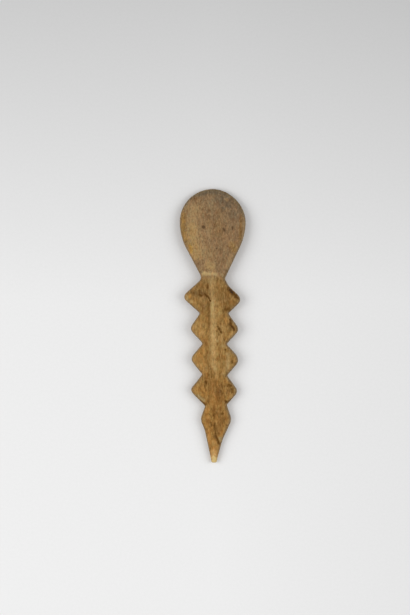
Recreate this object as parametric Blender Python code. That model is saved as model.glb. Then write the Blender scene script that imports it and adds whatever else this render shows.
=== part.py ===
"""Bone spoon, carved from one piece: teardrop bowl, notched handle and lance point.

The spoon lies along Y with the bowl at +Y and its hollow facing up. Its belly and the back of
its handle rest on z = 0. The solid is a loft: the plan outline gives every cross-section its
width, and the carved face and the back give its height. Lengths are in millimetres and become
metres when the mesh is made.
"""

import math
from typing import NamedTuple

import bmesh
import bpy
import numpy as np
from mathutils import Vector
from mathutils.geometry import interpolate_bezier

MM = 0.001


class Corner(NamedTuple):
    """A corner of the plan outline: its place along the axis, its distance out, its rounding."""

    along: float
    out: float
    radius: float


# Overall sizes
LENGTH = 160.0
BOWL_END = LENGTH / 2
POINT_END = -LENGTH / 2
POINT_HALF_WIDTH = 1.3

# Bowl: a round end, worn in a little on the right, fuller flanks, then straight to the neck
BOWL_RADIUS = 19.25
BOWL_CENTRE = BOWL_END - BOWL_RADIUS
BOWL_RIGHT_WEAR = 0.42
FLANK_RADIUS = 34.0
HOLLOW_DEPTH = 3.6
HOLLOW_CURVE = 2.3
HOLLOW_END = 32.0
LIP_WIDTH = 2.0
LIP_THICKNESS = 2.1
BELLY_CURVE = 2.4
BELLY_WORN = 0.35

# Handle edges from the neck to the point: V notches cut by eye, so the two sides differ
LEFT_CORNERS = (
    Corner(27.7, 6.3, 3.0),
    Corner(17.1, 18.3, 2.9),
    Corner(7.3, 7.7, 0.7),
    Corner(-1.6, 14.0, 3.4),
    Corner(-10.3, 6.2, 0.7),
    Corner(-19.2, 13.8, 3.4),
    Corner(-28.3, 6.5, 0.7),
    Corner(-37.5, 14.0, 2.6),
    Corner(-46.9, 4.9, 0.9),
    Corner(-54.5, 7.9, 5.0),
    Corner(-60.8, 5.3, 20.0),
    Corner(POINT_END, POINT_HALF_WIDTH, 1.0),
)
RIGHT_CORNERS = (
    Corner(27.4, 6.9, 0.9),
    Corner(23.2, 9.1, 8.0),
    Corner(15.4, 17.4, 3.5),
    Corner(7.1, 8.8, 0.7),
    Corner(-2.2, 15.5, 3.3),
    Corner(-10.6, 7.7, 0.9),
    Corner(-19.9, 16.0, 4.4),
    Corner(-29.0, 7.9, 0.7),
    Corner(-38.3, 14.6, 3.2),
    Corner(-46.2, 7.7, 0.7),
    Corner(-55.0, 10.6, 4.9),
    Corner(-66.7, 5.0, 30.0),
    Corner(POINT_END, POINT_HALF_WIDTH, 1.0),
)

# Heights along the axis, as (place along, height)
FACE_LINE = (
    (POINT_END, 3.2),
    (-46.0, 5.2),
    (-19.0, 6.5),
    (20.0, 7.1),
    (36.0, 6.3),
    (60.0, 5.1),
    (BOWL_END, 3.3),
)
BACK_LINE = ((POINT_END, 0.6), (-62.0, 0.0), (-18.0, -0.1), (14.0, 1.2), (31.0, 1.7), (47.0, 0.2))
NECK = 31.0
NECK_BLEND = 7.0
FACE_CROWN = 0.006
BACK_CROWN = 0.008
EDGE_ROUND = 1.25

# Midrib: a low ridge left standing along the handle's face
RIB_HEIGHT = 0.5
RIB_HALF_WIDTH = 2.2
RIB_CENTRE = -0.4
RIB_END = -34.0
RIB_FADE = 14.0

# Sampling of the loft
ARC_STEP = math.radians(30)
BOWL_ARC_STEP = math.radians(3)
BOWL_STEPS = 13
STATION_GAP = 0.55
STATION_REACH = 2.6
EDGE_SAMPLES = (0.06, 0.3, 0.7)
FACE_SAMPLES = (0.25, 0.5, 0.75, 1.0)
BACK_SAMPLES = (0.3, 0.65, 1.0)
TINY = 1e-6

BONE_COLOUR = (0.30, 0.18, 0.062, 1.0)
BONE_ROUGHNESS = 0.55


def smoothstep(low, high, value):
    """0 below low, 1 above high and an even S between them."""
    t = np.clip((value - low) / (high - low), 0.0, 1.0)
    return t * t * (3.0 - 2.0 * t)


def smooth_line(points, along):
    """Height at a place along the axis, on a smooth curve through the points."""
    at, height = np.array(points).T
    slope = np.gradient(height, at)
    along = np.clip(along, at[0], at[-1])
    i = np.clip(np.searchsorted(at, along) - 1, 0, len(at) - 2)
    span = at[i + 1] - at[i]
    t = (along - at[i]) / span
    start = (1.0 + 2.0 * t) * (1.0 - t) ** 2 * height[i] + t * (1.0 - t) ** 2 * span * slope[i]
    end = t * t * (3.0 - 2.0 * t) * height[i + 1] - t * t * (1.0 - t) * span * slope[i + 1]
    return start + end


def arc(centre_out, radius, start, end, worn=0.0):
    """Points on an arc about a centre level with the bowl's, its angles measured from straight out.

    A worn arc is drawn in by that much midway between straight out and the bowl's end.
    """
    steps = math.ceil(abs(end - start) / BOWL_ARC_STEP)
    angles = np.linspace(start, end, steps + 1)
    radii = radius - worn * np.sin(2 * angles) ** 2
    return list(zip(BOWL_CENTRE + radii * np.sin(angles), centre_out + radii * np.cos(angles)))


def rounded(before, corner, after):
    """The points of the curve that rounds a corner, tangent to both of its sides."""
    point = Vector(corner[:2])
    to_before = (Vector(before[:2]) - point).normalized()
    to_after = (Vector(after[:2]) - point).normalized()
    half = to_before.angle(to_after) / 2
    turn = math.pi - 2 * half
    far = corner.radius / math.tan(half)
    near = far - corner.radius * math.tan(turn / 4) * 4 / 3
    sides = (to_before * far, to_before * near, to_after * near, to_after * far)
    steps = max(2, math.ceil(turn / ARC_STEP))
    return [tuple(spot) for spot in interpolate_bezier(*(point + side for side in sides), steps + 1)]


def plan_edge(corners, worn):
    """One side of the plan outline as points (along, out), from the bowl's end to the point."""
    flank_centre = BOWL_RADIUS - FLANK_RADIUS
    to_neck = Vector((corners[0].out - flank_centre, corners[0].along - BOWL_CENTRE))
    leaves = math.atan2(to_neck.y, to_neck.x) + math.acos(FLANK_RADIUS / to_neck.length)
    edge = arc(0.0, BOWL_RADIUS, math.pi / 2, 0.0, worn)
    edge += arc(flank_centre, FLANK_RADIUS, 0.0, leaves)[1:]
    run = (edge[-1], *corners, (POINT_END, 0.0))
    for before, corner, after in zip(run, corners, run[2:]):
        edge.extend(rounded(before, corner, after))
    return np.array(edge + [(POINT_END, 0.0)])


LEFT_EDGE = plan_edge(LEFT_CORNERS, 0.0)
RIGHT_EDGE = plan_edge(RIGHT_CORNERS, BOWL_RIGHT_WEAR)


def reach(edge, along):
    """How far out a side of the outline is at a place along the axis."""
    return np.interp(along, edge[::-1, 0], edge[::-1, 1])


def edge_distance(x, along):
    """Least distance in plan from points to the outline."""
    least = np.full(np.shape(x), np.inf)
    for edge, side in ((LEFT_EDGE, -1.0), (RIGHT_EDGE, 1.0)):
        for start, end in zip(edge, edge[1:]):
            run = end - start
            offset = np.stack((along - start[0], side * x - start[1]))
            t = np.clip(run @ offset / max(run @ run, TINY), 0.0, 1.0)
            least = np.minimum(least, np.hypot(*(offset - np.outer(run, t))))
    return least


def bowl_ratio(x, along, inset):
    """0 on the bowl's middle line and 1 on its outline, drawn in by inset: turned at the round end."""
    half = np.where(x < 0, reach(LEFT_EDGE, along), reach(RIGHT_EDGE, along))
    straight = np.abs(x) / np.maximum(half - inset, TINY)
    turned = np.hypot(x, along - BOWL_CENTRE) / (BOWL_RADIUS - inset)
    return np.clip(np.where(along > BOWL_CENTRE, turned, straight), 0.0, 1.0)


def handle_to_bowl(along):
    """0 on the handle and 1 on the bowl."""
    return smoothstep(NECK - NECK_BLEND, NECK + NECK_BLEND, along)


def hollow(x, along):
    """Depth of the bowl's hollow, which shelves up to the neck."""
    shelving = np.clip((BOWL_CENTRE - along) / (BOWL_CENTRE - HOLLOW_END), 0.0, 1.0)
    depth = HOLLOW_DEPTH * (1.0 - shelving**HOLLOW_CURVE)
    return depth * (1.0 - bowl_ratio(x, along, LIP_WIDTH) ** HOLLOW_CURVE)


def midrib(x, along):
    """Height of the ridge along the middle of the handle's face."""
    bump = np.cos(np.clip((x - RIB_CENTRE) / RIB_HALF_WIDTH, -1.0, 1.0) * math.pi / 2) ** 2
    fade = smoothstep(RIB_END - RIB_FADE, RIB_END + RIB_FADE, along)
    return RIB_HEIGHT * bump * fade * (1.0 - handle_to_bowl(along))


def face_height(x, along):
    """Height of the carved face before its edges are rounded."""
    crown = FACE_CROWN * x * x * (1.0 - handle_to_bowl(along))
    return smooth_line(FACE_LINE, along) - crown + midrib(x, along) - hollow(x, along)


def back_height(x, along):
    """Height of the back before its edges are rounded, worn flat where it rests."""
    on_bowl = handle_to_bowl(along)
    spine = smooth_line(BACK_LINE, along)
    handle = spine + BACK_CROWN * x * x
    belly = spine - BELLY_WORN * on_bowl
    rise = smooth_line(FACE_LINE, along) - LIP_THICKNESS - belly
    bowl = belly + rise * bowl_ratio(x, along, 0.0) ** BELLY_CURVE
    return np.maximum(handle * (1.0 - on_bowl) + bowl * on_bowl, 0.0)


def half_samples(half, inner):
    """Distances out from the middle line to just inside an edge, for one half of a section."""
    scale = min(1.0, half / (2.0 * LIP_WIDTH))
    inside = half - LIP_WIDTH * scale
    foot = min(RIB_HALF_WIDTH, inside / 3)
    middle = [foot / 2, foot] + [foot + (inside - foot) * share for share in inner]
    return middle + [half - EDGE_ROUND * scale * share for share in reversed(EDGE_SAMPLES)]


def across(left, right, inner):
    """Places across a section, from its left edge to its right one."""
    minus = [-x for x in reversed(half_samples(left, inner))]
    return np.array([-left, *minus, 0.0, *half_samples(right, inner), right])


def rounded_row(x, along, height):
    """Points across the face or the back, drawn in to mid-thickness where they reach an edge."""
    along = np.full_like(x, along)
    middle = (face_height(x, along) + back_height(x, along)) / 2
    inset = np.clip(edge_distance(x, along) / EDGE_ROUND, 0.0, 1.0)
    z = middle + (height(x, along) - middle) * np.sqrt(1.0 - (1.0 - inset) ** 2)
    return np.column_stack((x, along, z))


def section(along):
    """One closed cross-section: over the face from left to right, then back underneath."""
    left, right = reach(LEFT_EDGE, along), reach(RIGHT_EDGE, along)
    face = rounded_row(across(left, right, FACE_SAMPLES), along, face_height)
    back = rounded_row(across(left, right, BACK_SAMPLES), along, back_height)
    return np.concatenate((face, back[-2:0:-1]))


def stations():
    """Places along the axis that get a section: close together on the round ends and corners."""
    turned = BOWL_CENTRE + BOWL_RADIUS * np.cos(np.linspace(0.0, math.pi / 2, BOWL_STEPS + 1))
    places = list(turned[1:])
    edges = np.concatenate((LEFT_EDGE[:, 0], RIGHT_EDGE[:, 0], [HOLLOW_END]))
    for place in sorted(edges[edges < BOWL_CENTRE], reverse=True):
        gap = places[-1] - place
        if gap < STATION_GAP or place - POINT_END < STATION_GAP / 2:
            continue
        parts = math.ceil(gap / STATION_REACH)
        places.extend(np.linspace(places[-1], place, parts + 1)[1:])
    return places


def loft(bm, rings, first_pole, last_pole):
    """Skins closed rings with quads and closes both ends on a single point."""
    rows = [[bm.verts.new(point * MM) for point in ring] for ring in rings]
    turns = [(i, (i + 1) % len(rings[0])) for i in range(len(rings[0]))]
    first, last = bm.verts.new(first_pole * MM), bm.verts.new(last_pole * MM)
    for i, j in turns:
        bm.faces.new((rows[0][i], rows[0][j], first))
        bm.faces.new((rows[-1][j], rows[-1][i], last))
        for row, following in zip(rows, rows[1:]):
            bm.faces.new((row[i], following[i], following[j], row[j]))


def bone_material():
    """Aged bone, browned by handling."""
    material = bpy.data.materials.new("aged_bone")
    material.use_nodes = True
    surface = material.node_tree.nodes["Principled BSDF"]
    surface.inputs["Base Color"].default_value = BONE_COLOUR
    surface.inputs["Roughness"].default_value = BONE_ROUGHNESS
    surface.inputs["Metallic"].default_value = 0.0
    return material


def make_spoon():
    """The whole spoon as one closed body."""
    ends = [rounded_row(np.zeros(1), end, face_height)[0] for end in (BOWL_END, POINT_END)]
    bm = bmesh.new()
    loft(bm, [section(along) for along in stations()], *ends)
    mesh = bpy.data.meshes.new("bone_spoon")
    bm.to_mesh(mesh)
    bm.free()
    mesh.shade_smooth()
    mesh.materials.append(bone_material())
    spoon = bpy.data.objects.new("bone_spoon", mesh)
    bpy.context.scene.collection.objects.link(spoon)
    return spoon


def main():
    for old in list(bpy.data.objects):
        bpy.data.objects.remove(old, do_unlink=True)
    make_spoon()


if __name__ == "__main__":
    main()
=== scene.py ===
"""Bone spoon: carved surface, aged finish and studio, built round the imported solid.

The file is laid out as an add-on and run as a script. Lengths at the top and in the marks are in
millimetres, and those of the properties are in metres. A mark's places are (across, along): across
runs to the right of the spoon's axis and along runs towards the bowl.
"""

import math
from typing import NamedTuple

import bpy
import numpy as np
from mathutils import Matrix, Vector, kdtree, noise


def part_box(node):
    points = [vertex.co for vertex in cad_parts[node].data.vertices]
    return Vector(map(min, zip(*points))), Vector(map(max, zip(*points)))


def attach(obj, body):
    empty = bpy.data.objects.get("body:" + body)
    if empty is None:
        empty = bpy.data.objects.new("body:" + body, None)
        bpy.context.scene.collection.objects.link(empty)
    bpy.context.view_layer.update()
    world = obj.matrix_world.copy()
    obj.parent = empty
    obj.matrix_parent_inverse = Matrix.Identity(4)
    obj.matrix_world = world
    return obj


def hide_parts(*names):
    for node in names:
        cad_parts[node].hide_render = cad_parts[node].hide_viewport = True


bl_info = {
    "name": "Bone Spoon",
    "version": (1, 0, 0),
    "blender": (4, 5, 0),
    "location": "3D View > Sidebar > Bone Spoon",
    "description": "Carves and finishes a bone spoon round its packed solid, and lights it",
    "category": "Add Mesh",
}

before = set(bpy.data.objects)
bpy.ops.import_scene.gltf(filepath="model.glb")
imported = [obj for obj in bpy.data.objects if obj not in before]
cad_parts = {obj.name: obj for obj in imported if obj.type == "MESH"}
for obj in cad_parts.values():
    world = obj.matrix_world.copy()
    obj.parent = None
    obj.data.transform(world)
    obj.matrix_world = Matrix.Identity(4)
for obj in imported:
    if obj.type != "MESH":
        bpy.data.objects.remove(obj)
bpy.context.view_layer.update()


class Lumps(NamedTuple):
    """Smooth noise over the surface: the size of its lumps, and how far they are drawn out on each axis."""

    size: float
    stretch: tuple = (1.0, 1.0, 1.0)


class Pattern(NamedTuple):
    """Noise in a finish: lumps in a unit of length across and along the grain, and its finer layers."""

    across: float
    along: float
    detail: float
    roughness: float = 0.5


class Mark(NamedTuple):
    """A mark on the face: a path in plan, how far it reaches, and what it does there.

    cut is its depth, and soil is the dirt that it holds. tone makes the bone paler above 0 and
    browner below 0. warmth makes it more orange above 0 and greyer below 0. A mark that wraps goes
    on round the sides to the back.
    """

    path: tuple
    reach: float
    cut: float = 0.0
    soil: float = 0.0
    tone: float = 0.0
    warmth: float = 0.0
    wraps: bool = False


NODE = "bone_spoon"
MM = 0.001
TINY = 1e-9
WHITE = (1.0, 1.0, 1.0, 1.0)

# The solid's box, and the end of the point in it
LOW, HIGH = (np.array(corner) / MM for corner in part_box(NODE))
POINT_END = LOW[1]

# Masks that the carving hands to the finish, one number for each point of the surface. edge is painted
# shade along the cut edges, and tone and warmth also carry painted light and shade
MASKS = ("bowl", "edge", "soil", "tone", "warmth")

# How far a point goes towards its neighbours in each round of smoothing
SMOOTHING_STEP = 0.5

# The upright part of the surface's normal on the outline, on the sides, and on the face or the back
RIM_TILT = 0.25
SIDE_TILT = (0.35, 0.75)
FACE_TILT = (0.15, 0.5)

# Where the hollow runs out on the neck
NECK = 28.5
NECK_FADE = 3.0

# How far the marks stray from their paths, and how they fade as shares of their reach
WARP = 0.28
WARP_LUMPS = Lumps(1.5)
WARP_OFFSETS = (31.0, 67.0)
WOBBLE = Lumps(0.9)
MARK_WOBBLE = 0.4
MARK_FADE = (0.15, 1.15)

# Painted shade along the cut edges, grey-brown: wider and greyer on the right, wider at the bowl's end, and
# fading out along the point
EDGE_WIDTH = 1.15
EDGE_WIDER_RIGHT = 0.35
EDGE_WIDER_END = 0.4
EDGE_WOBBLE = 0.5
EDGE_FADE = (0.2, 1.2)
EDGE_SHADE = 0.87
EDGE_SHADE_RIGHT = 0.13
BOWL_END = (60.0, 78.0)
POINT_WITHOUT_EDGE_SHADE = 12.0

# What the tools left: hollows of carving with dimples in them, scrapes along the grain, and file marks
HOLLOWS = Lumps(7.0)
HOLLOW_SHARE = 0.35
DIMPLES = Lumps(2.5)
DIMPLE_SHARE = 0.15
SCRAPES = Lumps(0.9, (1.0, 9.0, 1.0))
FILE_MARKS = Lumps(0.7, (1.0, 1.0, 8.0))

# Pores: the smallest as a share of the largest, how densely they lie outside the hollow, and their dirt
SMALLEST_PORE = 0.45
PORES_OUTSIDE = 0.15
PORE_SOIL = 0.4

# The length of the point that is brought out again, and how round its end is
POINT_LENGTH = 4.0
POINT_ROUNDING = 0.15

# Wear of the back, where hardly a mark lies: pale where it rests, streaked along the grain and blotched
REST_RISE = 1.3
REST_TONE = 0.3
BACK_STREAKS = Lumps(1.6, (1.0, 7.0, 1.0))
STREAK_TONE = 0.34
BACK_BLOTCHES = Lumps(6.0, (1.0, 2.0, 1.0))
BLOTCH_TONE = 0.42

# Patterns in the bone, in lumps to the millimetre
BLOTCH = Pattern(0.22, 0.13, detail=4.0, roughness=0.6)
PATCH = Pattern(0.42, 0.22, detail=3.0, roughness=0.55)
MOTTLE = Pattern(0.8, 0.3, detail=2.0)
GRAIN = Pattern(2.1, 0.42, detail=4.0, roughness=0.55)
FIBRE = Pattern(4.5, 0.7, detail=2.0)
SPECKLE = Pattern(0.95, 0.65, detail=3.0, roughness=0.6)
WANDER = Pattern(1.1, 0.3, detail=2.0)

# Canals of the bone: how many to the millimetre, how soft their walls are, and which of them show
CANALS = (1.7, 0.9, 1.7)
CANAL_WALL = (0.08, 0.42)
CANAL_CHOICE = (0.35, 0.8)

# Bare bone: where in their noise blotches go from dark to light, orange patches show and the hue turns
BLOTCH_RANGE = (0.1, 0.9)
PATCH_RANGE = (0.45, 0.75)
PATCH_WARMTH = 0.2
PATCHES_IN_BOWL = 0.3
WANDER_RANGE = (0.3, 0.7)

# The tone from which rubbed bone bleaches, and how much of the painted edge shade shows before and after
# the bone is rubbed
BLEACHED_FROM = 0.65
EDGE_RUBBED = 0.5
EDGE_TINT = (0.8, 0.15)

# How far each pattern swings the tone, on the handle and in the hollow
SWING_RANGE = (0.25, 0.75)
MOTTLE_SWING = (0.22, 0.16)
GRAIN_SWING = (0.42, 0.36)
SPECKLE_SWING = (0.2, 0.3)
CANAL_SWING = -0.38

# How much of the swing shows on browned and on rubbed bone, and how brown its low end is
SWING_TONES = (-0.1, 1.0)
SWING_SHOWN = (1.35, 0.3)
SWING_BROWN = 1.15

# Dirt: how the speckle breaks it up, from where to where it covers the bone, its share in the hollow,
# and from where to where it counts as thick
DIRT_SPECKLE = (0.3, 0.7)
DIRT_BREAKS = (-0.28, 0.15)
DIRT_RANGE = (0.05, 0.7)
DIRT_IN_BOWL = 0.7
DIRT_THICK = (0.75, 0.95)

# The grain's part in the roughness, the fibre's in the relief, and how deep red, green and blue light sinks
ROUGH_RANGE = (0.2, 0.8)
ROUGH_CHANGE = (-0.08, 0.12)
FIBRE_RELIEF = 0.6
RELIEF_STRENGTH = 0.5
LIGHT_DEPTHS = (1.0, 0.55, 0.25)

# Fibres of the floor's paper, in lumps to the metre, with the tone that they give it
PAPER = Pattern(700.0, 700.0, detail=3.0)
PAPER_RANGE = (0.3, 0.7)
PAPER_TONES = (0.99, 1.01)

# Where the floor's middle tone lies on the way from its near end to its far end, in its painted fall of
# light
MIDDLE_STOP = 0.5

# Open pores and nicks, deep enough to hold dirt
PITS = (
    Mark(((-5.6, 58.1), (-4.9, 57.7)), 1.1, cut=0.6, soil=0.95),
    Mark(((6.4, 56.8), (7.0, 55.5)), 0.95, cut=0.35, soil=0.74),
    Mark(((11.6, 57.7), (11.4, 56.8)), 0.9, cut=0.3, soil=0.73),
    Mark(((2.3, 45.4),), 0.85, cut=0.3, soil=0.7),
    Mark(((-8.8, 49.0),), 0.9, cut=0.2, soil=0.45),
    Mark(((1.8, 75.3), (1.7, 74.2)), 0.8, cut=0.2, soil=0.35),
    Mark(((-2.3, 67.8), (-2.8, 66.2)), 0.9, cut=0.15, soil=0.4),
    Mark(((-2.2, 64.6),), 0.9, cut=0.2, soil=0.5),
    Mark(((5.3, 60.4),), 0.8, cut=0.15, soil=0.4),
    Mark(((5.6, 69.0), (5.5, 67.0)), 1.0, cut=0.15, soil=0.56),
    Mark(((5.7, 75.6), (5.8, 72.0)), 1.0, cut=0.15, soil=0.5),
    Mark(((10.6, 73.6), (9.2, 71.6)), 0.9, cut=0.1, soil=0.4),
    Mark(((10.3, 70.2),), 0.9, cut=0.1, soil=0.35),
    Mark(((-16.0, 49.0),), 1.0, cut=0.15, soil=0.5),
    Mark(((-8.6, 75.2),), 1.0, cut=0.1, soil=0.4),
    Mark(((-2.0, 50.3),), 0.7, cut=0.1, soil=0.3),
    Mark(((1.8, 50.2),), 0.7, cut=0.1, soil=0.35),
    Mark(((-2.8, 41.6),), 0.8, cut=0.1, soil=0.3),
    Mark(((4.3, 42.6),), 0.8, cut=0.1, soil=0.3),
    Mark(((-11.2, 19.3),), 1.2, cut=0.3, soil=0.5),
    Mark(((-7.9, 20.6), (-7.8, 19.6)), 0.9, cut=0.35, soil=0.62),
    Mark(((-7.5, 18.2), (-7.0, 17.7)), 1.15, cut=0.4, soil=0.72),
    Mark(((-3.1, 23.4), (-3.1, 22.2)), 1.0, cut=0.35, soil=0.65),
    Mark(((1.9, -3.0),), 0.8, cut=0.2, soil=0.55),
    Mark(((3.3, -4.9),), 1.0, cut=0.1, soil=0.4),
    Mark(((5.2, 3.8), (5.0, 3.0)), 1.1, cut=0.1, soil=0.4),
    Mark(((6.1, 1.3),), 0.8, cut=0.1, soil=0.35),
    Mark(((-2.8, -6.0),), 0.9, cut=0.15, soil=0.4),
    Mark(((2.4, -10.4),), 1.0, cut=0.1, soil=0.3),
    Mark(((4.7, -10.4),), 0.9, cut=0.1, soil=0.2),
    Mark(((7.1, -13.8),), 1.0, cut=0.25, soil=0.65),
    Mark(((11.0, -20.4), (11.1, -21.2)), 1.2, cut=0.35, soil=0.6),
    Mark(((8.4, -34.7), (10.4, -35.0)), 1.2, cut=0.4, soil=0.64),
    Mark(((10.8, -36.8), (11.1, -39.0)), 1.1, cut=0.25, soil=0.55),
    Mark(((-4.4, -32.4), (-4.3, -33.8)), 1.0, cut=0.3, soil=0.7),
    Mark(((-10.6, -37.2),), 0.8, cut=0.1, soil=0.15),
    Mark(((4.3, -37.6),), 0.9, cut=0.1, soil=0.4),
    Mark(((3.4, -34.8),), 0.9, cut=0.1, soil=0.4),
    Mark(((6.8, -41.8),), 1.0, cut=0.1, soil=0.35),
    Mark(((4.4, -51.2), (5.4, -51.4)), 1.2, cut=0.3, soil=0.6),
    Mark(((0.0, -52.2), (0.2, -51.4)), 1.0, cut=0.3, soil=0.7),
    Mark(((7.6, -58.0),), 1.0, cut=0.2, soil=0.5),
    Mark(((5.8, -58.6),), 0.8, cut=0.1, soil=0.35),
    Mark(((-1.4, -70.8),), 0.7, cut=0.1, soil=0.3),
)

# Cracks along the grain, slips of the knife, and the groove along the left of the ridge, whose darkening is
# partly painted shade
CRACKS_AND_SHADED_GROOVE = (
    Mark(((-5.0, 18.7), (-4.0, 18.0), (-3.1, 17.0), (-2.3, 15.7), (-1.7, 14.7)), 0.8, cut=0.45, soil=0.82),
    Mark(((-4.3, 17.8), (-3.7, 17.4)), 1.1, cut=0.3, soil=0.55),
    Mark(((2.5, -0.2), (3.2, -1.4)), 0.9, cut=0.35, soil=0.6),
    Mark(((3.3, -1.7), (3.9, -2.6), (4.5, -3.6)), 1.1, cut=0.45, soil=0.76),
    Mark(((10.3, 3.6), (10.2, 2.2), (10.2, 0.8)), 1.15, cut=0.4, soil=0.78),
    Mark(((10.3, 0.6), (11.2, -0.7), (12.0, -1.9), (12.1, -2.5)), 1.1, cut=0.4, soil=0.86),
    Mark(((0.4, -56.8), (0.6, -60.0), (1.0, -63.0), (1.6, -65.4)), 0.8, cut=0.4, soil=0.6),
    Mark(((1.4, -64.8), (2.2, -67.3), (3.1, -69.0)), 1.0, cut=0.5, soil=0.72),
    Mark(((-1.7, -56.4), (-1.0, -58.4)), 1.0, cut=0.3, soil=0.6),
    # The groove along the left of the ridge: cut, and darkened as painted shade of the ridge's steep left
    # side
    Mark(((-2.7, 13.8), (-2.6, 9.0), (-2.4, 4.2)), 1.1, cut=0.25, soil=0.5),
    Mark(((-2.4, 4.0), (-2.5, 0.4), (-2.5, -2.0)), 1.2, cut=0.2, soil=0.45),
    Mark(((-2.4, -7.0), (-2.3, -9.0)), 0.9, cut=0.15, soil=0.3),
    Mark(((-3.6, -14.4), (-4.3, -19.0), (-3.2, -22.0), (-2.5, -23.4)), 1.2, cut=0.2, soil=0.35),
    Mark(((-1.2, -26.4), (-1.2, -29.8)), 0.9, cut=0.15, soil=0.45),
    Mark(((-2.9, -28.0), (-2.9, -29.4)), 0.9, cut=0.15, soil=0.5),
    Mark(((0.2, -28.2), (0.2, -30.0)), 0.8, cut=0.1, soil=0.4),
    Mark(((3.6, -27.6), (3.5, -30.4)), 0.9, cut=0.15, soil=0.4),
    Mark(((-1.4, -34.4), (-1.2, -37.8)), 0.8, cut=0.1, soil=0.3),
    Mark(((-4.9, -34.6), (-4.4, -37.6)), 1.0, cut=0.1, soil=0.5),
    Mark(((0.2, -46.8), (0.2, -51.0), (0.3, -55.6)), 0.8, cut=0.1, soil=0.4),
    Mark(((4.3, -47.8), (4.2, -49.0)), 1.1, cut=0.1, soil=0.4),
)

# Dirt and old stains held at the edges and in the notches, and partly painted shade along lozenge 1's upper
# right edge
STAINS_AND_EDGE_SHADE = (
    # Partly painted shade: dark bands inside lozenge 1's upper right edge, on its bevel facing away from
    # the left lamp
    Mark(((9.0, 21.4), (10.6, 20.0)), 1.9, cut=0.25, soil=0.75),
    Mark(((9.9, 20.9), (11.2, 19.4)), 1.5, soil=1.1),
    Mark(((10.8, 19.8), (14.2, 16.2)), 1.6, cut=0.2, soil=0.8),
    Mark(((7.5, 9.3), (9.3, 9.4)), 1.9, soil=0.68),
    Mark(((14.2, 15.6), (12.0, 12.8), (9.8, 10.2)), 1.5, soil=0.34),
    Mark(((7.2, 12.8), (7.2, 10.6)), 1.4, soil=0.4),
    Mark(((7.3, -44.2),), 1.4, soil=0.85),
    Mark(((8.4, -43.8), (10.2, -43.0)), 1.0, soil=0.45),
    Mark(((-7.7, -43.3), (-4.7, -45.8)), 0.9, soil=0.58),
    Mark(((-4.6, -45.4),), 1.1, soil=0.5),
    Mark(((7.2, -28.4), (8.0, -27.6)), 1.1, soil=0.3),
    Mark(((7.9, -9.4),), 1.1, soil=0.4),
    Mark(((6.3, -8.0),), 1.0, soil=0.35),
    Mark(((4.4, -68.0),), 0.8, soil=0.45),
    Mark(((-5.0, -10.0),), 1.0, soil=0.4),
)
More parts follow.
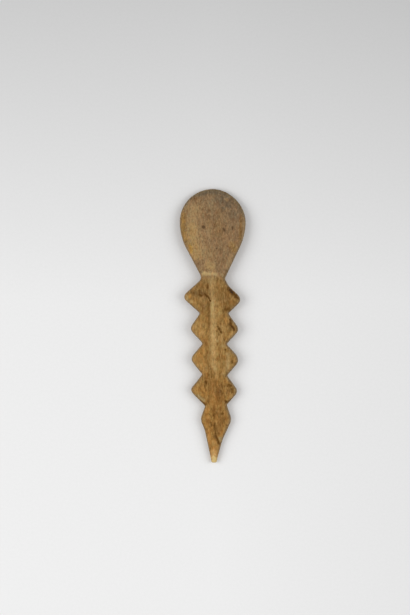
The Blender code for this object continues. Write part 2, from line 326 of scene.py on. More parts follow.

# Patina: paler where the bone is rubbed, browner, greyer or more orange elsewhere. Some marks paint light
# and shade instead: in the hollow, on the neck, on the ridge and on lozenge tips
PATINA_AND_PAINTED_SHADING = (
    # Painted light: the left side of the hollow paler and warmer
    Mark(((-12.0, 68.0), (-12.0, 56.0), (-9.6, 43.0)), 6.5, tone=0.27),
    Mark(((-12.6, 57.0), (-12.0, 50.0), (-10.0, 41.0)), 4.2, tone=0.04, warmth=0.3),
    Mark(((-17.2, 65.0), (-17.3, 57.0), (-16.2, 49.0)), 2.1, tone=-0.22, warmth=0.48),
    Mark(((-16.6, 61.0),), 1.6, tone=-0.22, warmth=0.3),
    Mark(((-13.4, 46.8), (-12.6, 43.6)), 1.5, tone=-0.1, warmth=0.75),
    Mark(((-13.0, 50.0),), 1.1, warmth=-0.4),
    # Painted shade: the bowl's end and its upper right darker and greyer, with dark grey bands along its
    # end edge
    Mark(((-3.0, 75.5), (10.0, 74.5)), 6.0, tone=0.02, warmth=-0.3),
    Mark(((-8.6, 76.6), (-4.6, 78.0), (0.0, 78.6), (5.0, 78.0), (9.0, 76.6)), 1.8, tone=-0.25, warmth=-0.7),
    Mark(((-17.2, 68.6), (-13.4, 74.0), (-8.6, 77.2)), 0.9, tone=-0.2, warmth=-0.8),
    Mark(((6.0, 78.0), (9.4, 76.8), (13.4, 73.4), (16.4, 69.2), (18.2, 64.5)), 1.1, tone=-0.2, warmth=-0.9),
    Mark(((6.0, 74.0), (11.0, 71.0), (14.0, 66.0)), 6.0, tone=-0.04, warmth=-0.38),
    Mark(((10.6, 73.4), (12.4, 71.6)), 1.6, tone=-0.25),
    Mark(((8.4, 73.7),), 1.5, tone=0.25, warmth=0.5),
    Mark(((6.6, 69.2), (8.4, 70.2), (10.0, 69.2)), 1.6, tone=-0.16, warmth=-0.4),
    Mark(((16.4, 64.0), (16.4, 58.0), (16.0, 50.0)), 1.1, tone=-0.42, warmth=0.35),
    Mark(((18.2, 63.0), (18.3, 56.0), (16.8, 47.0)), 1.0, tone=0.16, warmth=-0.3),
    Mark(((11.0, 47.5), (12.6, 44.0)), 2.6, tone=-0.18, warmth=0.35),
    Mark(((8.0, 43.8),), 1.9, tone=0.15, warmth=-0.25),
    Mark(((-13.4, 71.0), (-10.6, 73.0)), 2.2, tone=-0.16),
    Mark(((-8.2, 61.8),), 2.6, tone=-0.12),
    Mark(((-4.8, 51.0),), 1.7, tone=0.14),
    Mark(((2.0, 24.4), (2.2, 21.4)), 1.8, tone=0.18),
    Mark(((6.9, 52.6),), 1.7, tone=-0.12),
    Mark(((-3.0, 43.5), (-1.4, 36.0)), 4.6, tone=0.16),
    Mark(((-2.5, 35.5), (-0.5, 33.5)), 3.0, tone=0.15, warmth=0.15),
    # Painted shade: the hollow darker right of its middle
    Mark(((2.6, 65.0), (2.8, 60.0), (3.6, 54.0)), 3.2, tone=-0.2, warmth=0.1),
    Mark(((-1.5, 72.0), (0.5, 64.5)), 4.0, tone=0.07, warmth=-0.2),
    Mark(((-2.0, 61.0), (-1.6, 53.0)), 2.2, tone=0.12),
    Mark(((6.0, 65.0), (9.0, 68.5)), 2.4, tone=-0.1),
    # Painted shade: the right side of the hollow greyer
    Mark(((8.0, 65.0), (12.0, 59.0)), 4.5, tone=0.02, warmth=-0.16),
    Mark(((-6.2, 33.5), (-6.4, 30.0)), 1.9, tone=0.14, warmth=-0.1),
    Mark(((11.0, 40.8), (9.4, 38.0), (8.2, 35.0)), 1.8, tone=0.18, warmth=-0.1),
    # Painted light: a pale band across the neck where the hollow rises
    Mark(((-5.0, 30.6), (-1.5, 30.4), (1.5, 30.2)), 1.8, tone=0.6, warmth=-0.32),
    Mark(((5.0, 29.4),), 1.7, tone=0.35, warmth=-0.4),
    Mark(((7.4, 29.2), (7.8, 32.0)), 1.1, tone=-0.5),
    Mark(((-4.0, 26.5), (4.0, 26.5)), 4.0, tone=-0.1, warmth=-0.1),
    Mark(((-9.0, 18.5), (8.0, 18.5)), 9.0, tone=-0.18, warmth=-0.12),
    # Pale strip along the ridge: rubbed bone, partly painted light on its top
    Mark(((-0.8, 27.0), (-1.0, 21.0), (-0.2, 15.0)), 2.2, tone=0.36, warmth=-0.1),
    Mark(((-0.2, 13.6), (-0.1, 2.0), (0.0, -8.0), (0.0, -15.0)), 2.4, tone=0.36),
    Mark(((0.0, -16.6), (0.2, -24.0)), 2.2, tone=0.26),
    Mark(((-4.6, -24.6), (-4.2, -26.4)), 1.6, tone=0.2, warmth=0.2),
    Mark(((-0.4, 13.0), (-0.4, 6.5)), 1.5, tone=0.16),
    Mark(((0.0, -5.5), (0.3, -9.0)), 1.7, tone=0.15),
    Mark(((0.5, -24.0), (1.6, -28.0), (1.8, -31.0)), 1.3, tone=0.3),
    Mark(((-9.0, -2.0), (9.0, -2.0)), 8.0, tone=0.06),
    Mark(((-9.0, -19.5), (9.0, -19.5)), 8.0, tone=0.05),
    Mark(((-7.5, 1.0), (-6.0, -7.0), (-7.0, -16.0), (-6.5, -26.0)), 4.2, tone=-0.03, warmth=0.2),
    Mark(((0.0, -36.0), (0.0, -68.0)), 10.0, tone=-0.12, warmth=0.36),
    Mark(((2.2, 14.5), (2.8, 11.0), (3.6, 6.0)), 2.0, tone=0.15),
    Mark(((8.2, 15.5), (8.2, 11.0)), 2.2, tone=-0.28, warmth=0.1),
    Mark(((5.5, -28.0),), 1.5, tone=0.3, warmth=-0.1),
    Mark(((8.2, -16.5), (8.4, -24.0)), 1.6, tone=0.3, warmth=-0.2),
    # Partly painted light: lozenge 1's left tip paler, on the side that faces the left lamp
    Mark(((-15.0, 16.9), (-15.2, 15.6)), 2.0, tone=0.42, warmth=-0.1),
    Mark(((-13.2, 18.0), (-13.6, 16.8)), 1.3, warmth=0.9),
    Mark(((-12.5, 14.3),), 1.4, tone=0.3),
    Mark(((-12.0, 19.4), (-8.0, 18.8), (-4.4, 18.4)), 1.9, tone=-0.35),
    Mark(((-5.3, 23.3),), 2.0, tone=-0.25, warmth=0.2),
    Mark(((-11.0, 14.2),), 2.4, tone=0.2, warmth=0.3),
    Mark(((-7.0, 12.6), (-4.8, 10.6)), 2.0, tone=-0.42, warmth=0.15),
    Mark(((-9.4, 10.4), (-6.2, 9.0)), 1.7, tone=-0.26),
    Mark(((5.0, 22.0), (8.0, 18.0)), 3.4, tone=-0.2, warmth=0.15),
    Mark(((10.8, 14.0),), 2.2, tone=-0.2, warmth=0.35),
    Mark(((5.6, 10.2), (6.6, 9.4)), 1.9, tone=-0.3),
    Mark(((5.9, 26.9),), 1.6, tone=-0.28),
    Mark(((-5.0, 16.5),), 1.5, tone=-0.16),
    Mark(((-5.0, 12.0), (-5.0, 6.5)), 1.5, tone=-0.17),
    Mark(((-3.8, 3.0),), 1.6, tone=-0.3, warmth=0.35),
    # Partly painted light: lozenge 2's left tip paler and more orange
    Mark(((-11.3, -0.5),), 1.9, tone=0.25, warmth=0.3),
    Mark(((-6.5, -4.0),), 2.4, tone=0.3, warmth=0.35),
    Mark(((-9.0, 1.5), (-6.0, 0.5)), 2.4, tone=0.12),
    Mark(((-8.5, -3.0),), 1.0, tone=-0.3),
    Mark(((-10.2, -3.7),), 1.5, tone=0.18),
    Mark(((2.3, -8.2),), 1.4, tone=0.3),
    Mark(((5.2, -11.6), (6.7, -11.6)), 1.5, tone=0.25),
    Mark(((-2.8, -18.3),), 1.5, tone=-0.2),
    Mark(((7.6, -26.0),), 1.3, tone=0.18, warmth=-0.2),
    Mark(((-6.9, -25.9),), 1.3, tone=0.15),
    Mark(((1.0, -70.4), (2.1, -71.4)), 1.4, tone=0.2),
    Mark(((-4.4, -8.6), (-3.6, -11.0)), 1.7, tone=-0.45, warmth=0.35),
    Mark(((8.8, 0.0), (9.2, -3.0)), 1.6, tone=-0.35),
    Mark(((11.2, -4.0), (9.8, -5.4)), 1.7, tone=0.15, warmth=0.3),
    Mark(((7.2, 4.4), (7.2, 2.6)), 1.3, warmth=0.4),
    Mark(((7.0, -6.8),), 1.4, tone=-0.4, warmth=0.35),
    Mark(((4.4, -6.4), (4.8, -9.0)), 1.8, tone=0.15),
    Mark(((4.9, -0.4),), 1.4, tone=0.22),
    Mark(((-7.8, -16.0),), 2.2, tone=-0.05, warmth=0.35),
    Mark(((-6.3, -14.0),), 1.1, tone=-0.3, warmth=0.4),
    Mark(((-11.0, -20.0),), 1.8, tone=0.06, warmth=0.3),
    Mark(((-7.0, -23.0), (-9.0, -22.7)), 1.7, tone=0.16, warmth=0.35),
    Mark(((3.0, -19.0), (6.5, -18.6)), 1.9, tone=-0.3, warmth=0.2),
    Mark(((-4.0, -28.0), (-4.0, -30.4)), 1.3, tone=-0.3, warmth=0.5),
    Mark(((-10.4, -34.0), (-7.6, -31.4)), 1.6, tone=-0.16),
    Mark(((-9.0, -37.0), (-7.0, -38.0)), 3.0, warmth=0.35),
    Mark(((-11.6, -37.6),), 1.3, tone=0.16),
    Mark(((-10.2, 11.4),), 1.6, tone=0.16),
    Mark(((-3.2, -43.6), (-2.6, -42.0)), 1.5, tone=-0.3),
    Mark(((7.0, -32.5),), 1.4, tone=0.1, warmth=0.4),
    Mark(((8.5, -36.8), (8.5, -38.8)), 1.7, tone=-0.33, warmth=0.25),
    Mark(((10.2, -41.6),), 1.7, tone=0.3),
    Mark(((6.6, -38.0),), 1.1, tone=0.2, warmth=0.1),
    Mark(((4.0, -33.5), (4.0, -38.0)), 1.4, tone=-0.25),
    Mark(((3.0, -39.6), (3.4, -43.4)), 3.4, tone=-0.4, warmth=0.42),
    Mark(((-3.2, -32.5), (0.0, -36.0), (6.0, -39.0)), 4.0, tone=-0.2),
    Mark(((6.2, -44.6),), 1.3, tone=-0.35),
    Mark(((-9.0, -40.8), (-7.4, -42.2), (-5.6, -43.6)), 1.4, tone=0.42, warmth=-0.5),
    Mark(((-3.5, -48.5), (-3.8, -53.0)), 1.5, tone=0.0, warmth=0.4),
    Mark(((-2.8, -55.0), (-1.6, -58.5)), 1.6, tone=-0.2, warmth=0.2),
    Mark(((-4.3, -57.5), (-3.4, -61.0), (-2.0, -68.0)), 1.5, tone=0.18, warmth=0.35),
    Mark(((2.2, -50.5), (4.0, -54.0), (3.4, -62.0)), 3.2, tone=-0.32, warmth=0.1),
    Mark(((6.3, -53.5), (8.0, -55.0)), 1.6, tone=-0.26, warmth=0.4),
    Mark(((2.0, -53.2), (1.8, -55.4)), 1.1, tone=0.2),
    Mark(((6.0, -60.4), (5.2, -62.0), (4.6, -64.0)), 1.2, tone=0.3, warmth=0.1),
    Mark(((3.6, -65.4), (3.9, -67.0)), 1.4, tone=0.5, warmth=-0.7),
    Mark(((-0.2, -67.5), (-0.4, -69.5)), 1.3, tone=0.25),
    Mark(((0.3, -71.6),), 1.9, tone=0.17, warmth=0.7),
    Mark(((0.0, -73.2), (0.0, -74.6)), 2.0, tone=0.48, warmth=0.66, wraps=True),
    Mark(((0.0, -77.4), (0.0, -79.6)), 2.9, tone=0.7, wraps=True),
    Mark(((0.0, -77.6), (0.0, -79.6)), 2.2, tone=0.34, wraps=True),
)


def smoothstep(low, high, value):
    """0 below low, 1 above high and an even S between them."""
    t = np.clip((value - low) / (high - low), 0.0, 1.0)
    return t * t * (3.0 - 2.0 * t)


def path_distance(plan, path):
    """Distance in plan from points to a path of one or more places."""
    path = np.array(path)
    least = np.full(len(plan), np.inf)
    for start, end in zip(path, path[1:] if len(path) > 1 else path):
        run = end - start
        offset = plan - start
        t = np.clip(offset @ run / max(run @ run, TINY), 0.0, 1.0)
        least = np.minimum(least, np.linalg.norm(offset - np.outer(t, run), axis=1))
    return least


def noise_field(points, lumps):
    """Smooth noise from -1 to 1, a value for each point."""
    scaled = points / (lumps.size * np.array(lumps.stretch))
    return np.array([noise.noise(point) for point in scaled.tolist()])


def nearest_rim(points, normals):
    """For each point, the distance in plan to the spoon's outline and the outline's normal there."""
    rim = np.flatnonzero(np.abs(normals[:, 2]) < RIM_TILT)
    tree = kdtree.KDTree(len(rim))
    for i, (x, y, _) in enumerate(points[rim].tolist()):
        tree.insert((x, y, 0.0), i)
    tree.balance()
    _, nearest, distance = zip(*(tree.find((x, y, 0.0)) for x, y, _ in points.tolist()))
    return np.array(distance), normals[rim[list(nearest)]]


class Bench:
    """Adds nodes to one shader tree. add gives a node, and feed sets or links one of its inputs.

    The other calls each give the socket of a result.
    """

    # Numbers of a Mix node's colour sockets, which share their names with its sockets for other data
    FACTOR, FIRST, SECOND, RESULT = 0, 6, 7, 2

    def __init__(self, tree):
        self.tree = tree

    def add(self, kind, inputs=None, **settings):
        node = self.tree.nodes.new(kind)
        for name, value in settings.items():
            setattr(node, name, value)
        for socket, value in (inputs or {}).items():
            self.feed(node.inputs[socket], value)
        return node

    def feed(self, socket, value):
        if isinstance(value, bpy.types.NodeSocket):
            self.tree.links.new(value, socket)
        else:
            socket.default_value = value

    def mask(self, name):
        return self.add("ShaderNodeAttribute", attribute_name=name).outputs["Fac"]

    def stretched(self, vector, scale):
        return self.add("ShaderNodeMapping", {"Vector": vector, "Scale": scale}).outputs["Vector"]

    def pattern(self, place, kind):
        vector = self.stretched(place, (kind.across, kind.along, kind.across))
        inputs = {"Vector": vector, "Scale": 1.0, "Detail": kind.detail, "Roughness": kind.roughness}
        return self.add("ShaderNodeTexNoise", inputs).outputs["Fac"]

    def spread(self, value, low, high, to_low=0.0, to_high=1.0):
        inputs = {"Value": value, "From Min": low, "From Max": high, "To Min": to_low, "To Max": to_high}
        return self.add("ShaderNodeMapRange", inputs).outputs["Result"]

    def combine(self, operation, first, second):
        return self.add("ShaderNodeMath", {0: first, 1: second}, operation=operation).outputs["Value"]

    def mix(self, factor, first, second, blend="MIX"):
        inputs = {self.FACTOR: factor, self.FIRST: first, self.SECOND: second}
        node = self.add("ShaderNodeMix", inputs, data_type="RGBA", blend_type=blend)
        return node.outputs[self.RESULT]

    def seen(self):
        """1 for rays that show the background to the camera, straight or in a gloss, and 0 for light."""
        rays = self.add("ShaderNodeLightPath").outputs
        either = self.combine("MAXIMUM", rays["Is Camera Ray"], rays["Is Glossy Ray"])
        return self.combine("MAXIMUM", either, rays["Is Transmission Ray"])


def length_property(name, description, default):
    return bpy.props.FloatProperty(name=name, description=description, default=default, unit="LENGTH")


def share_property(name, description, default):
    return bpy.props.FloatProperty(
        name=name, description=description, default=default, subtype="FACTOR", min=0.0, max=1.0
    )


def colour_property(name, description, default):
    return bpy.props.FloatVectorProperty(
        name=name,
        description=description,
        default=(*default, 1.0),
        size=4,
        subtype="COLOR",
        min=0.0,
        max=1.0,
    )


class SpoonShape(bpy.types.PropertyGroup):
    """Sizes of the carved surface."""

    voxel: length_property("Voxel", "Spacing of the fine surface", 0.00034)
    smoothing: bpy.props.IntProperty(
        name="Smoothing", description="Rounds of smoothing after the remesh", default=5
    )
    swell: length_property("Swell", "How far the smoothed surface is brought out again", 0.00012)
    point_reach: length_property("Point Reach", "How far the blunted point is brought out again", 0.0005)
    unevenness: length_property("Unevenness", "Depth of the hollows left by carving", 0.00016)
    scraping: length_property("Scraping", "Depth of the scrape marks along the grain", 0.00005)
    filing: length_property("Filing", "Depth of the file marks down the sides", 0.0001)
    pores: bpy.props.IntProperty(name="Pores", description="How many pores are cut", default=520)
    pore_radius: length_property("Pore Radius", "Radius of the largest pore", 0.00055)
    pore_depth: length_property("Pore Depth", "Depth of the largest pore", 0.00025)
    seed: bpy.props.IntProperty(name="Seed", description="Start of the scatter of pores", default=7)


class SpoonFinish(bpy.types.PropertyGroup):
    """Colours and gloss of the aged bone."""

    handle_dark: colour_property("Handle Dark", "Browned bone of the handle", (0.218, 0.111, 0.026))
    handle_light: colour_property("Handle Light", "Yellow bone of the handle", (0.388, 0.229, 0.062))
    bowl_dark: colour_property("Bowl Dark", "Grey-brown bone of the hollow", (0.179, 0.108, 0.0495))
    bowl_light: colour_property("Bowl Light", "Paler bone of the hollow", (0.316, 0.197, 0.0965))
    pale: colour_property("Rubbed", "Bone where it is rubbed", (0.640, 0.447, 0.190))
    bleached: colour_property("Bleached", "Bone bleached at the point", (0.660, 0.500, 0.205))
    # Browned bone; it also darkens the marks that paint shade in the hollow
    umber: colour_property("Browned", "Bone where it is browned most", (0.090, 0.038, 0.006))
    orange: colour_property("Orange", "Orange patches", (0.438, 0.197, 0.037))
    ochre: colour_property("Ochre", "Ochre patches in the hollow", (0.425, 0.238, 0.044))
    # Greyed patches; the grey also paints the shade at the bowl's end and on the hollow's right side
    grey: colour_property("Greyed", "Greyed patches", (0.132, 0.110, 0.074))
    fleck: colour_property("Fleck", "What the paler flecks of the grain add", (0.222, 0.15, 0.072))
    amber: colour_property("Amber", "Dirt soaked into the cracks of the handle", (0.098, 0.038, 0.0))
    soil: colour_property("Soil", "Dirt in the hollow and where it is thickest", (0.046, 0.020, 0.006))
    # Painted shade along the cut edges
    edge: colour_property("Edge", "Greyed bone of the cut edges", (0.185, 0.132, 0.068))
    russet: colour_property("Russet Tint", "Tint of the redder bone", (1.0, 0.888, 0.835))
    olive: colour_property("Olive Tint", "Tint of the greener bone", (0.88, 0.96, 1.0))
    roughness: share_property("Roughness", "Roughness of the bone", 0.55)
    gloss: share_property("Gloss", "Strength of the bone's gloss", 0.12)
    relief: length_property("Relief", "Height of the relief of grain and fibre", 0.00012)
    translucence: share_property("Translucence", "Share of the light that sinks into the bone", 0.06)
    light_depth: length_property("Light Depth", "How far that light sinks in", 0.001)


class StudioSettings(bpy.types.PropertyGroup):
    """Camera, lamps and floor."""

    camera_across: length_property("Camera Across", "Camera's place across the spoon", -0.00475)
    camera_along: length_property("Camera Along", "Camera's place along the spoon", 0.01076)
    camera_height: length_property("Camera Height", "Camera's height over the floor", 0.9012)
    camera_roll: bpy.props.FloatProperty(
        name="Camera Roll", description="Turn of the picture", default=math.radians(-0.313), unit="ROTATION"
    )
    lens: bpy.props.FloatProperty(name="Lens", description="Focal length", default=90.0, unit="CAMERA")
    left_power: bpy.props.FloatProperty(
        name="Left Power", description="Power of the left lamp", default=7.2, unit="POWER"
    )
    right_power: bpy.props.FloatProperty(
        name="Right Power", description="Power of the right lamp", default=5.8, unit="POWER"
    )
    lamp_size: length_property("Lamp Size", "Side of each square lamp", 0.8)
    lamp_distance: length_property("Lamp Distance", "Distance from a lamp to the spoon", 1.2)
    lamp_height: bpy.props.FloatProperty(
        name="Lamp Height",
        description="Angle of the lamps over the floor",
        default=math.radians(42),
        unit="ROTATION",
    )
    ambient: bpy.props.FloatProperty(
        name="Ambient", description="Strength of the light from all round", default=0.5
    )
    # The floor's tones paint the fall of the light: darker beyond the bowl, lighter beyond the point, and
    # darker towards the right
    floor_far: colour_property("Floor Far", "Floor beyond the bowl", (0.590, 0.590, 0.590))
    floor_middle: colour_property("Floor Middle", "Floor by the spoon", (0.800, 0.800, 0.800))
    floor_near: colour_property("Floor Near", "Floor beyond the point", (0.840, 0.840, 0.840))
    floor_far_end: length_property("Far End", "Where the far tone is reached", 0.19)
    floor_near_end: length_property("Near End", "Where the near tone is reached", -0.16)
    floor_side: share_property("Side", "How much of its tone the floor keeps to the right", 0.93)
    floor_side_end: length_property("Side End", "Where that tone is reached", 0.12)
    fade_start: length_property("Fade Start", "How far out the floor starts to fade", 0.23)
    fade_end: length_property("Fade End", "How far out the floor is an even tone", 0.5)
    floor_size: length_property("Floor Size", "Side of the floor", 8.0)


def fine_mesh(shape):
    """The solid again as an even, smooth, fine mesh."""
    rough = bpy.data.objects.new("spoon_blank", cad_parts[NODE].data.copy())
    bpy.context.scene.collection.objects.link(rough)
    weld = rough.modifiers.new("Weld", "WELD")
    weld.merge_threshold = TINY
    remesh = rough.modifiers.new("Remesh", "REMESH")
    remesh.mode = "VOXEL"
    remesh.voxel_size = shape.voxel
    smooth = rough.modifiers.new("Smooth", "SMOOTH")
    smooth.factor = SMOOTHING_STEP
    smooth.iterations = shape.smoothing
    mesh = bpy.data.meshes.new_from_object(rough.evaluated_get(bpy.context.evaluated_depsgraph_get()))
    bpy.data.objects.remove(rough, do_unlink=True)
    mesh.name = "carved_bone"
    mesh.shade_smooth()
    return mesh


def read_vectors(items, name):
    values = np.empty(len(items) * 3, np.float32)
    items.foreach_get(name, values)
    return values.reshape(-1, 3).astype(float)


def edge_shade_mask(points, normals, wobble):
    """How strongly painted shade darkens the cut edges, from 0 to 1."""
    along = points[:, 1]
    distance, facing = nearest_rim(points, normals)
    rightward = facing[:, 0]
    width = EDGE_WIDTH + EDGE_WIDER_RIGHT * rightward
    width += EDGE_WIDER_END * smoothstep(*BOWL_END, along)
    width += EDGE_WOBBLE * wobble
    grey = EDGE_SHADE + EDGE_SHADE_RIGHT * rightward
    grey *= smoothstep(POINT_END, POINT_END + POINT_WITHOUT_EDGE_SHADE, along)
    return grey * (1.0 - smoothstep(*EDGE_FADE, distance / width))


def tool_marks(points, normals, shape):
    """Depth that the tools left: hollows and scrapes from 0 to full depth, file marks half each way."""
    uneven = 0.5 + HOLLOW_SHARE * noise_field(points, HOLLOWS) + DIMPLE_SHARE * noise_field(points, DIMPLES)
    cut = shape.unevenness / MM * uneven
    cut += shape.scraping / MM * (0.5 + 0.5 * noise_field(points, SCRAPES))
    sides = 1.0 - smoothstep(*SIDE_TILT, np.abs(normals[:, 2]))
    cut += sides * shape.filing / MM * 0.5 * noise_field(points, FILE_MARKS)
    return cut


def lay_marks(points, face, wobble, masks):
    """Adds every mark's tint and dirt to the masks, and gives the depth of the cuts."""
    warp = np.stack([noise_field(points + offset, WARP_LUMPS) for offset in WARP_OFFSETS], axis=1)
    plan = points[:, :2] + WARP * warp
    cut = np.zeros(len(points))
    for mark in PITS + CRACKS_AND_SHADED_GROOVE + STAINS_AND_EDGE_SHADE + PATINA_AND_PAINTED_SHADING:
        distance = path_distance(plan, mark.path) / mark.reach + MARK_WOBBLE * wobble
        near = 1.0 - smoothstep(*MARK_FADE, distance)
        if not mark.wraps:
            near *= face
        cut = np.maximum(cut, mark.cut * near)
        masks["soil"] = np.maximum(masks["soil"], mark.soil * near)
        masks["tone"] += mark.tone * near
        masks["warmth"] += mark.warmth * near
    return cut


def wear_back(points, normals, masks):
    """Adds the wear of the back to the masks."""
    back = smoothstep(*FACE_TILT, -normals[:, 2])
    rubbed = REST_TONE * (1.0 - smoothstep(0.0, REST_RISE, points[:, 2]))
    streaks = STREAK_TONE * noise_field(points, BACK_STREAKS)
    blotches = BLOTCH_TONE * noise_field(points, BACK_BLOTCHES)
    masks["tone"] += back * (rubbed + streaks + blotches)
    masks["warmth"] -= back * blotches


def cut_pores(points, weight, shape):
    """Depth of small pores scattered over the surface, more where weight is higher, and their dirt."""
    rng = np.random.default_rng(shape.seed)
    tree = kdtree.KDTree(len(points))
    for i, point in enumerate(points.tolist()):
        tree.insert(point, i)
    tree.balance()
    cut = np.zeros(len(points))
    soil = np.zeros(len(points))
    for centre in rng.choice(len(points), shape.pores, replace=False, p=weight / weight.sum()):
        share = rng.uniform(SMALLEST_PORE, 1.0)
        radius = shape.pore_radius / MM * share
        for _, i, distance in tree.find_range(points[centre], radius):
            inside = 1.0 - (distance / radius) ** 2
            cut[i] = max(cut[i], shape.pore_depth / MM * share * inside)
            soil[i] = max(soil[i], PORE_SOIL * share * inside)
    return cut, soil


def carve(mesh, shape):
    """Cuts the marks, pores and tool marks into the mesh and gives it the masks for its finish."""
    points = read_vectors(mesh.vertices, "co") / MM
    normals = read_vectors(mesh.vertices, "normal")
    along = points[:, 1]
    face = smoothstep(*FACE_TILT, normals[:, 2])
    wobble = noise_field(points, WOBBLE)
    masks = {name: np.zeros(len(points)) for name in MASKS}
    masks["bowl"] = face * smoothstep(NECK - NECK_FADE, NECK + NECK_FADE, along + wobble)
    # Painted shade along the cut edges, darker on the right and at the bowl's end
    masks["edge"] = edge_shade_mask(points, normals, wobble)
    mark_cut = lay_marks(points, face, wobble, masks)
    wear_back(points, normals, masks)
    pore_cut, pore_soil = cut_pores(points, PORES_OUTSIDE + masks["bowl"], shape)
    masks["soil"] = np.maximum(masks["soil"], pore_soil)
    cut = tool_marks(points, normals, shape) + np.maximum(mark_cut, pore_cut) - shape.swell / MM
    carved = points - normals * cut[:, None]

    # The point is drawn out again, and its end is rounded just inside the solid's
    reach = shape.point_reach / MM * (1.0 - smoothstep(POINT_END, POINT_END + POINT_LENGTH, along))
    inside = carved[:, 1] - POINT_END - reach
    carved[:, 1] = POINT_END + (inside + np.hypot(inside, POINT_ROUNDING)) / 2

    carved = np.clip(carved, LOW, HIGH) * MM
    mesh.vertices.foreach_set("co", carved.astype(np.float32).ravel())
    for name, values in masks.items():
        mesh.attributes.new(name, "FLOAT", "POINT").data.foreach_set("value", values.astype(np.float32))
    mesh.update()


def bare_bone(bench, finish, place, bowl, warmth):
    """Yellow bone of the handle and grey-brown bone of the hollow, with orange, ochre and grey patches; the
    grey also paints shade where shading marks turn the warmth below 0.
    """
    shade = bench.spread(bench.pattern(place, BLOTCH), *BLOTCH_RANGE)
    handle_colour = bench.mix(shade, finish.handle_dark, finish.handle_light)
    bowl_colour = bench.mix(shade, finish.bowl_dark, finish.bowl_light)
    colour = bench.mix(bowl, handle_colour, bowl_colour)
    patches = bench.spread(bench.pattern(place, PATCH), *PATCH_RANGE, 0.0, PATCH_WARMTH)
    patches = bench.combine("MULTIPLY", patches, bench.spread(bowl, 0.0, 1.0, 1.0, PATCHES_IN_BOWL))
    warm = bench.combine("ADD", bench.spread(warmth, 0.0, 1.0), patches)
    colour = bench.mix(warm, colour, bench.mix(bowl, finish.orange, finish.ochre))
    return bench.mix(bench.spread(warmth, 0.0, -1.0), colour, finish.grey)


def rubbed_bone(bench, finish, place, colour, tone, edge):
    """The bone rubbed pale, bleached and browned, turned redder or greener, and darkened at its cut edges
    with painted shade.
    """
    colour = bench.mix(bench.spread(tone, 0.0, 1.0), colour, finish.pale)
    colour = bench.mix(bench.spread(tone, BLEACHED_FROM, 1.0), colour, finish.bleached)
    colour = bench.mix(bench.spread(tone, 0.0, -1.0), colour, finish.umber)
    turn = bench.spread(bench.pattern(place, WANDER), *WANDER_RANGE)
    colour = bench.mix(1.0, colour, bench.mix(turn, finish.russet, finish.olive), "MULTIPLY")
    # Painted shade along the cut edges, weaker where the bone is rubbed pale
    painted_edge_shade = bench.combine("MULTIPLY", edge, bench.spread(tone, 0.0, EDGE_RUBBED, *EDGE_TINT))
    return bench.mix(painted_edge_shade, colour, finish.edge)


def open_canals(bench, place):
    """1 in the canals that show and 0 between them."""
    cells = bench.add("ShaderNodeTexVoronoi", {"Vector": bench.stretched(place, CANALS), "Scale": 1.0})
    inside = bench.spread(cells.outputs["Distance"], *CANAL_WALL, 1.0, 0.0)
    chance = bench.add("ShaderNodeSeparateXYZ", {"Vector": cells.outputs["Color"]}).outputs["X"]
    return bench.combine("MULTIPLY", inside, bench.spread(chance, *CANAL_CHOICE))


def grained_bone(bench, finish, place, colour, bowl, tone, grain, speckle):
    """The bone's tone swung up and down by mottle, grain, speckle and canals, less where it is rubbed."""
    swing = bench.combine("MULTIPLY", open_canals(bench, place), CANAL_SWING)
    mottle = bench.pattern(place, MOTTLE)
    for pattern, strengths in ((mottle, MOTTLE_SWING), (grain, GRAIN_SWING), (speckle, SPECKLE_SWING)):
        wave = bench.spread(pattern, *SWING_RANGE, -1.0, 1.0)
        wave = bench.combine("MULTIPLY", wave, bench.spread(bowl, 0.0, 1.0, *strengths))
        swing = bench.combine("ADD", swing, wave)
    swing = bench.combine("MULTIPLY", swing, bench.spread(tone, *SWING_TONES, *SWING_SHOWN))
    colour = bench.mix(bench.spread(swing, 0.0, -1.0, 0.0, SWING_BROWN), colour, finish.umber)
    return bench.mix(bench.spread(swing, 0.0, 1.0), colour, finish.fleck, "ADD")


def soiled_bone(bench, finish, colour, bowl, soil, speckle):
    """Dirt over the bone, broken up by speckle: amber on the handle, dark in the hollow or where thick."""
    breaks = bench.spread(speckle, *DIRT_SPECKLE, *DIRT_BREAKS)
    dirt = bench.spread(bench.combine("ADD", soil, breaks), *DIRT_RANGE)
    dirt = bench.combine("MULTIPLY", dirt, bench.spread(bowl, 0.0, 1.0, 1.0, DIRT_IN_BOWL))
    dark = bench.combine("MAXIMUM", bowl, bench.spread(soil, *DIRT_THICK))
    return bench.mix(dirt, colour, bench.mix(dark, finish.amber, finish.soil))


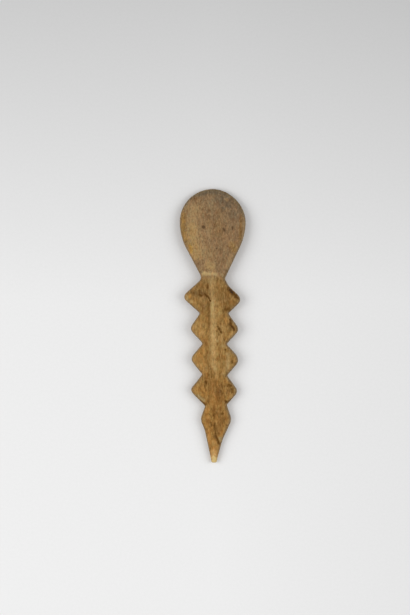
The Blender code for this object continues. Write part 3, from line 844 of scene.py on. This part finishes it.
def bone_finish(finish):
    """Aged bone: ochre handle, grey-brown porous hollow, pale rubbed ridge and dirt in the cuts, with
    painted shade along the edges and painted light and shade where the marks give it.
    """
    material = bpy.data.materials.new("aged_bone")
    material.use_nodes = True
    bench = Bench(material.node_tree)
    surface = material.node_tree.nodes["Principled BSDF"]
    place = bench.stretched(bench.add("ShaderNodeTexCoord").outputs["Object"], (1 / MM,) * 3)
    bowl, edge, soil, tone, warmth = (bench.mask(name) for name in MASKS)
    grain = bench.pattern(place, GRAIN)
    speckle = bench.pattern(place, SPECKLE)

    colour = bare_bone(bench, finish, place, bowl, warmth)
    colour = rubbed_bone(bench, finish, place, colour, tone, edge)
    colour = grained_bone(bench, finish, place, colour, bowl, tone, grain, speckle)
    colour = soiled_bone(bench, finish, colour, bowl, soil, speckle)
    bench.feed(surface.inputs["Base Color"], colour)

    smoother, rougher = (finish.roughness + change for change in ROUGH_CHANGE)
    bench.feed(surface.inputs["Roughness"], bench.spread(grain, *ROUGH_RANGE, smoother, rougher))
    fibre = bench.combine("MULTIPLY", bench.pattern(place, FIBRE), FIBRE_RELIEF)
    height = bench.combine("ADD", grain, fibre)
    relief = {"Strength": RELIEF_STRENGTH, "Distance": finish.relief, "Height": height}
    bench.feed(surface.inputs["Normal"], bench.add("ShaderNodeBump", relief).outputs["Normal"])
    surface.inputs["Specular IOR Level"].default_value = finish.gloss
    surface.inputs["Subsurface Weight"].default_value = finish.translucence
    surface.inputs["Subsurface Radius"].default_value = LIGHT_DEPTHS
    surface.inputs["Subsurface Scale"].default_value = finish.light_depth
    return material


def floor_finish(studio):
    """Pale paper with a painted fall of light, darker beyond the bowl and to the right, that fades into an
    even background away from the spoon.
    """
    material = bpy.data.materials.new("pale_paper")
    material.use_nodes = True
    bench = Bench(material.node_tree)
    surface = material.node_tree.nodes["Principled BSDF"]
    place = bench.add("ShaderNodeTexCoord").outputs["Object"]
    axes = bench.add("ShaderNodeSeparateXYZ", {"Vector": place}).outputs
    # Painted fall of the light: darker beyond the bowl, lighter beyond the point
    share = bench.spread(axes["Y"], studio.floor_near_end, studio.floor_far_end)
    ramp = bench.add("ShaderNodeValToRGB", {"Fac": share})
    stops = ramp.color_ramp.elements
    stops[0].color = studio.floor_near
    stops[1].color = studio.floor_far
    stops.new(MIDDLE_STOP).color = studio.floor_middle
    # Painted fall of the light: the floor darker towards the right
    side = bench.spread(axes["X"], 0.0, studio.floor_side_end, 1.0, studio.floor_side)
    fibres = bench.spread(bench.pattern(place, PAPER), *PAPER_RANGE, *PAPER_TONES)
    level = bench.combine("MULTIPLY", side, fibres)
    tone = {0: ramp.outputs["Color"], "Scale": level}
    shaded = bench.add("ShaderNodeVectorMath", tone, operation="SCALE")
    bench.feed(surface.inputs["Base Color"], shaded.outputs["Vector"])
    surface.inputs["Roughness"].default_value = 1.0
    surface.inputs["Specular IOR Level"].default_value = 0.0

    out = bench.add("ShaderNodeVectorMath", {0: place}, operation="LENGTH").outputs["Value"]
    away = bench.combine("MULTIPLY", bench.spread(out, studio.fade_start, studio.fade_end), bench.seen())
    even = bench.add("ShaderNodeEmission", {"Color": studio.floor_middle, "Strength": 1.0})
    shaders = {0: away, 1: surface.outputs["BSDF"], 2: even.outputs["Emission"]}
    faded = bench.add("ShaderNodeMixShader", shaders)
    bench.feed(material.node_tree.nodes["Material Output"].inputs["Surface"], faded.outputs["Shader"])
    return material


def make_floor(studio):
    half = studio.floor_size / 2
    corners = [(-half, -half, 0), (half, -half, 0), (half, half, 0), (-half, half, 0)]
    mesh = bpy.data.meshes.new("floor")
    mesh.from_pydata(corners, [], [(0, 1, 2, 3)])
    mesh.materials.append(floor_finish(studio))
    floor = bpy.data.objects.new("floor", mesh)
    bpy.context.scene.collection.objects.link(floor)


def make_lamp(name, side, power, studio):
    """A square soft lamp to one side, facing the spoon."""
    light = bpy.data.lights.new(name, "AREA")
    light.shape = "SQUARE"
    light.size = studio.lamp_size
    light.energy = power
    lamp = bpy.data.objects.new(name, light)
    lamp.location = (
        side * studio.lamp_distance * math.cos(studio.lamp_height),
        0.0,
        studio.lamp_distance * math.sin(studio.lamp_height),
    )
    lamp.rotation_euler = (0.0, side * (math.pi / 2 - studio.lamp_height), 0.0)
    lamp.visible_camera = False
    bpy.context.scene.collection.objects.link(lamp)


def make_world(studio):
    """Even light from all round, which the camera sees as the pale paper going on."""
    world = bpy.data.worlds.new("studio")
    world.use_nodes = True
    bench = Bench(world.node_tree)
    background = world.node_tree.nodes["Background"]
    strength = bench.spread(bench.seen(), 0.0, 1.0, studio.ambient, studio.floor_middle[0])
    background.inputs["Color"].default_value = WHITE
    bench.feed(background.inputs["Strength"], strength)
    bpy.context.scene.world = world


def make_camera(studio):
    data = bpy.data.cameras.new("camera")
    data.lens = studio.lens
    camera = bpy.data.objects.new("camera", data)
    camera.location = (studio.camera_across, studio.camera_along, studio.camera_height)
    camera.rotation_euler = (0.0, 0.0, studio.camera_roll)
    bpy.context.scene.collection.objects.link(camera)
    bpy.context.scene.camera = camera


class BONESPOON_OT_carve(bpy.types.Operator):
    """Carves the spoon's fine surface over its solid and gives it the aged finish"""

    bl_idname = "bone_spoon.carve"
    bl_label = "Carve Spoon"

    def execute(self, context):
        mesh = fine_mesh(context.scene.spoon_shape)
        carve(mesh, context.scene.spoon_shape)
        mesh.materials.clear()
        mesh.materials.append(bone_finish(context.scene.spoon_finish))
        spoon = bpy.data.objects.new("carved_spoon", mesh)
        context.scene.collection.objects.link(spoon)
        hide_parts(NODE)
        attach(spoon, "root")
        return {"FINISHED"}


class BONESPOON_OT_studio(bpy.types.Operator):
    """Lays the floor, sets the lamps and the camera over the spoon"""

    bl_idname = "bone_spoon.studio"
    bl_label = "Set Up Studio"

    def execute(self, context):
        studio = context.scene.spoon_studio
        make_floor(studio)
        make_lamp("left_lamp", -1, studio.left_power, studio)
        make_lamp("right_lamp", 1, studio.right_power, studio)
        make_world(studio)
        make_camera(studio)
        context.scene.view_settings.view_transform = "Standard"
        return {"FINISHED"}


class VIEW3D_PT_bone_spoon(bpy.types.Panel):
    """Sizes, colours and steps of the bone spoon"""

    bl_label = "Bone Spoon"
    bl_space_type = "VIEW_3D"
    bl_region_type = "UI"
    bl_category = "Bone Spoon"

    def draw(self, context):
        for group, operator in (
            (context.scene.spoon_shape, None),
            (context.scene.spoon_finish, BONESPOON_OT_carve),
            (context.scene.spoon_studio, BONESPOON_OT_studio),
        ):
            box = self.layout.box()
            for name in group.__annotations__:
                box.prop(group, name)
            if operator:
                box.operator(operator.bl_idname)


GROUPS = {"spoon_shape": SpoonShape, "spoon_finish": SpoonFinish, "spoon_studio": StudioSettings}
CLASSES = (*GROUPS.values(), BONESPOON_OT_carve, BONESPOON_OT_studio, VIEW3D_PT_bone_spoon)


def register():
    for cls in CLASSES:
        bpy.utils.register_class(cls)
    for name, group in GROUPS.items():
        setattr(bpy.types.Scene, name, bpy.props.PointerProperty(type=group))


def unregister():
    for name in GROUPS:
        delattr(bpy.types.Scene, name)
    for cls in reversed(CLASSES):
        bpy.utils.unregister_class(cls)


def main():
    register()
    bpy.ops.bone_spoon.carve()
    bpy.ops.bone_spoon.studio()


if __name__ == "__main__":
    main()
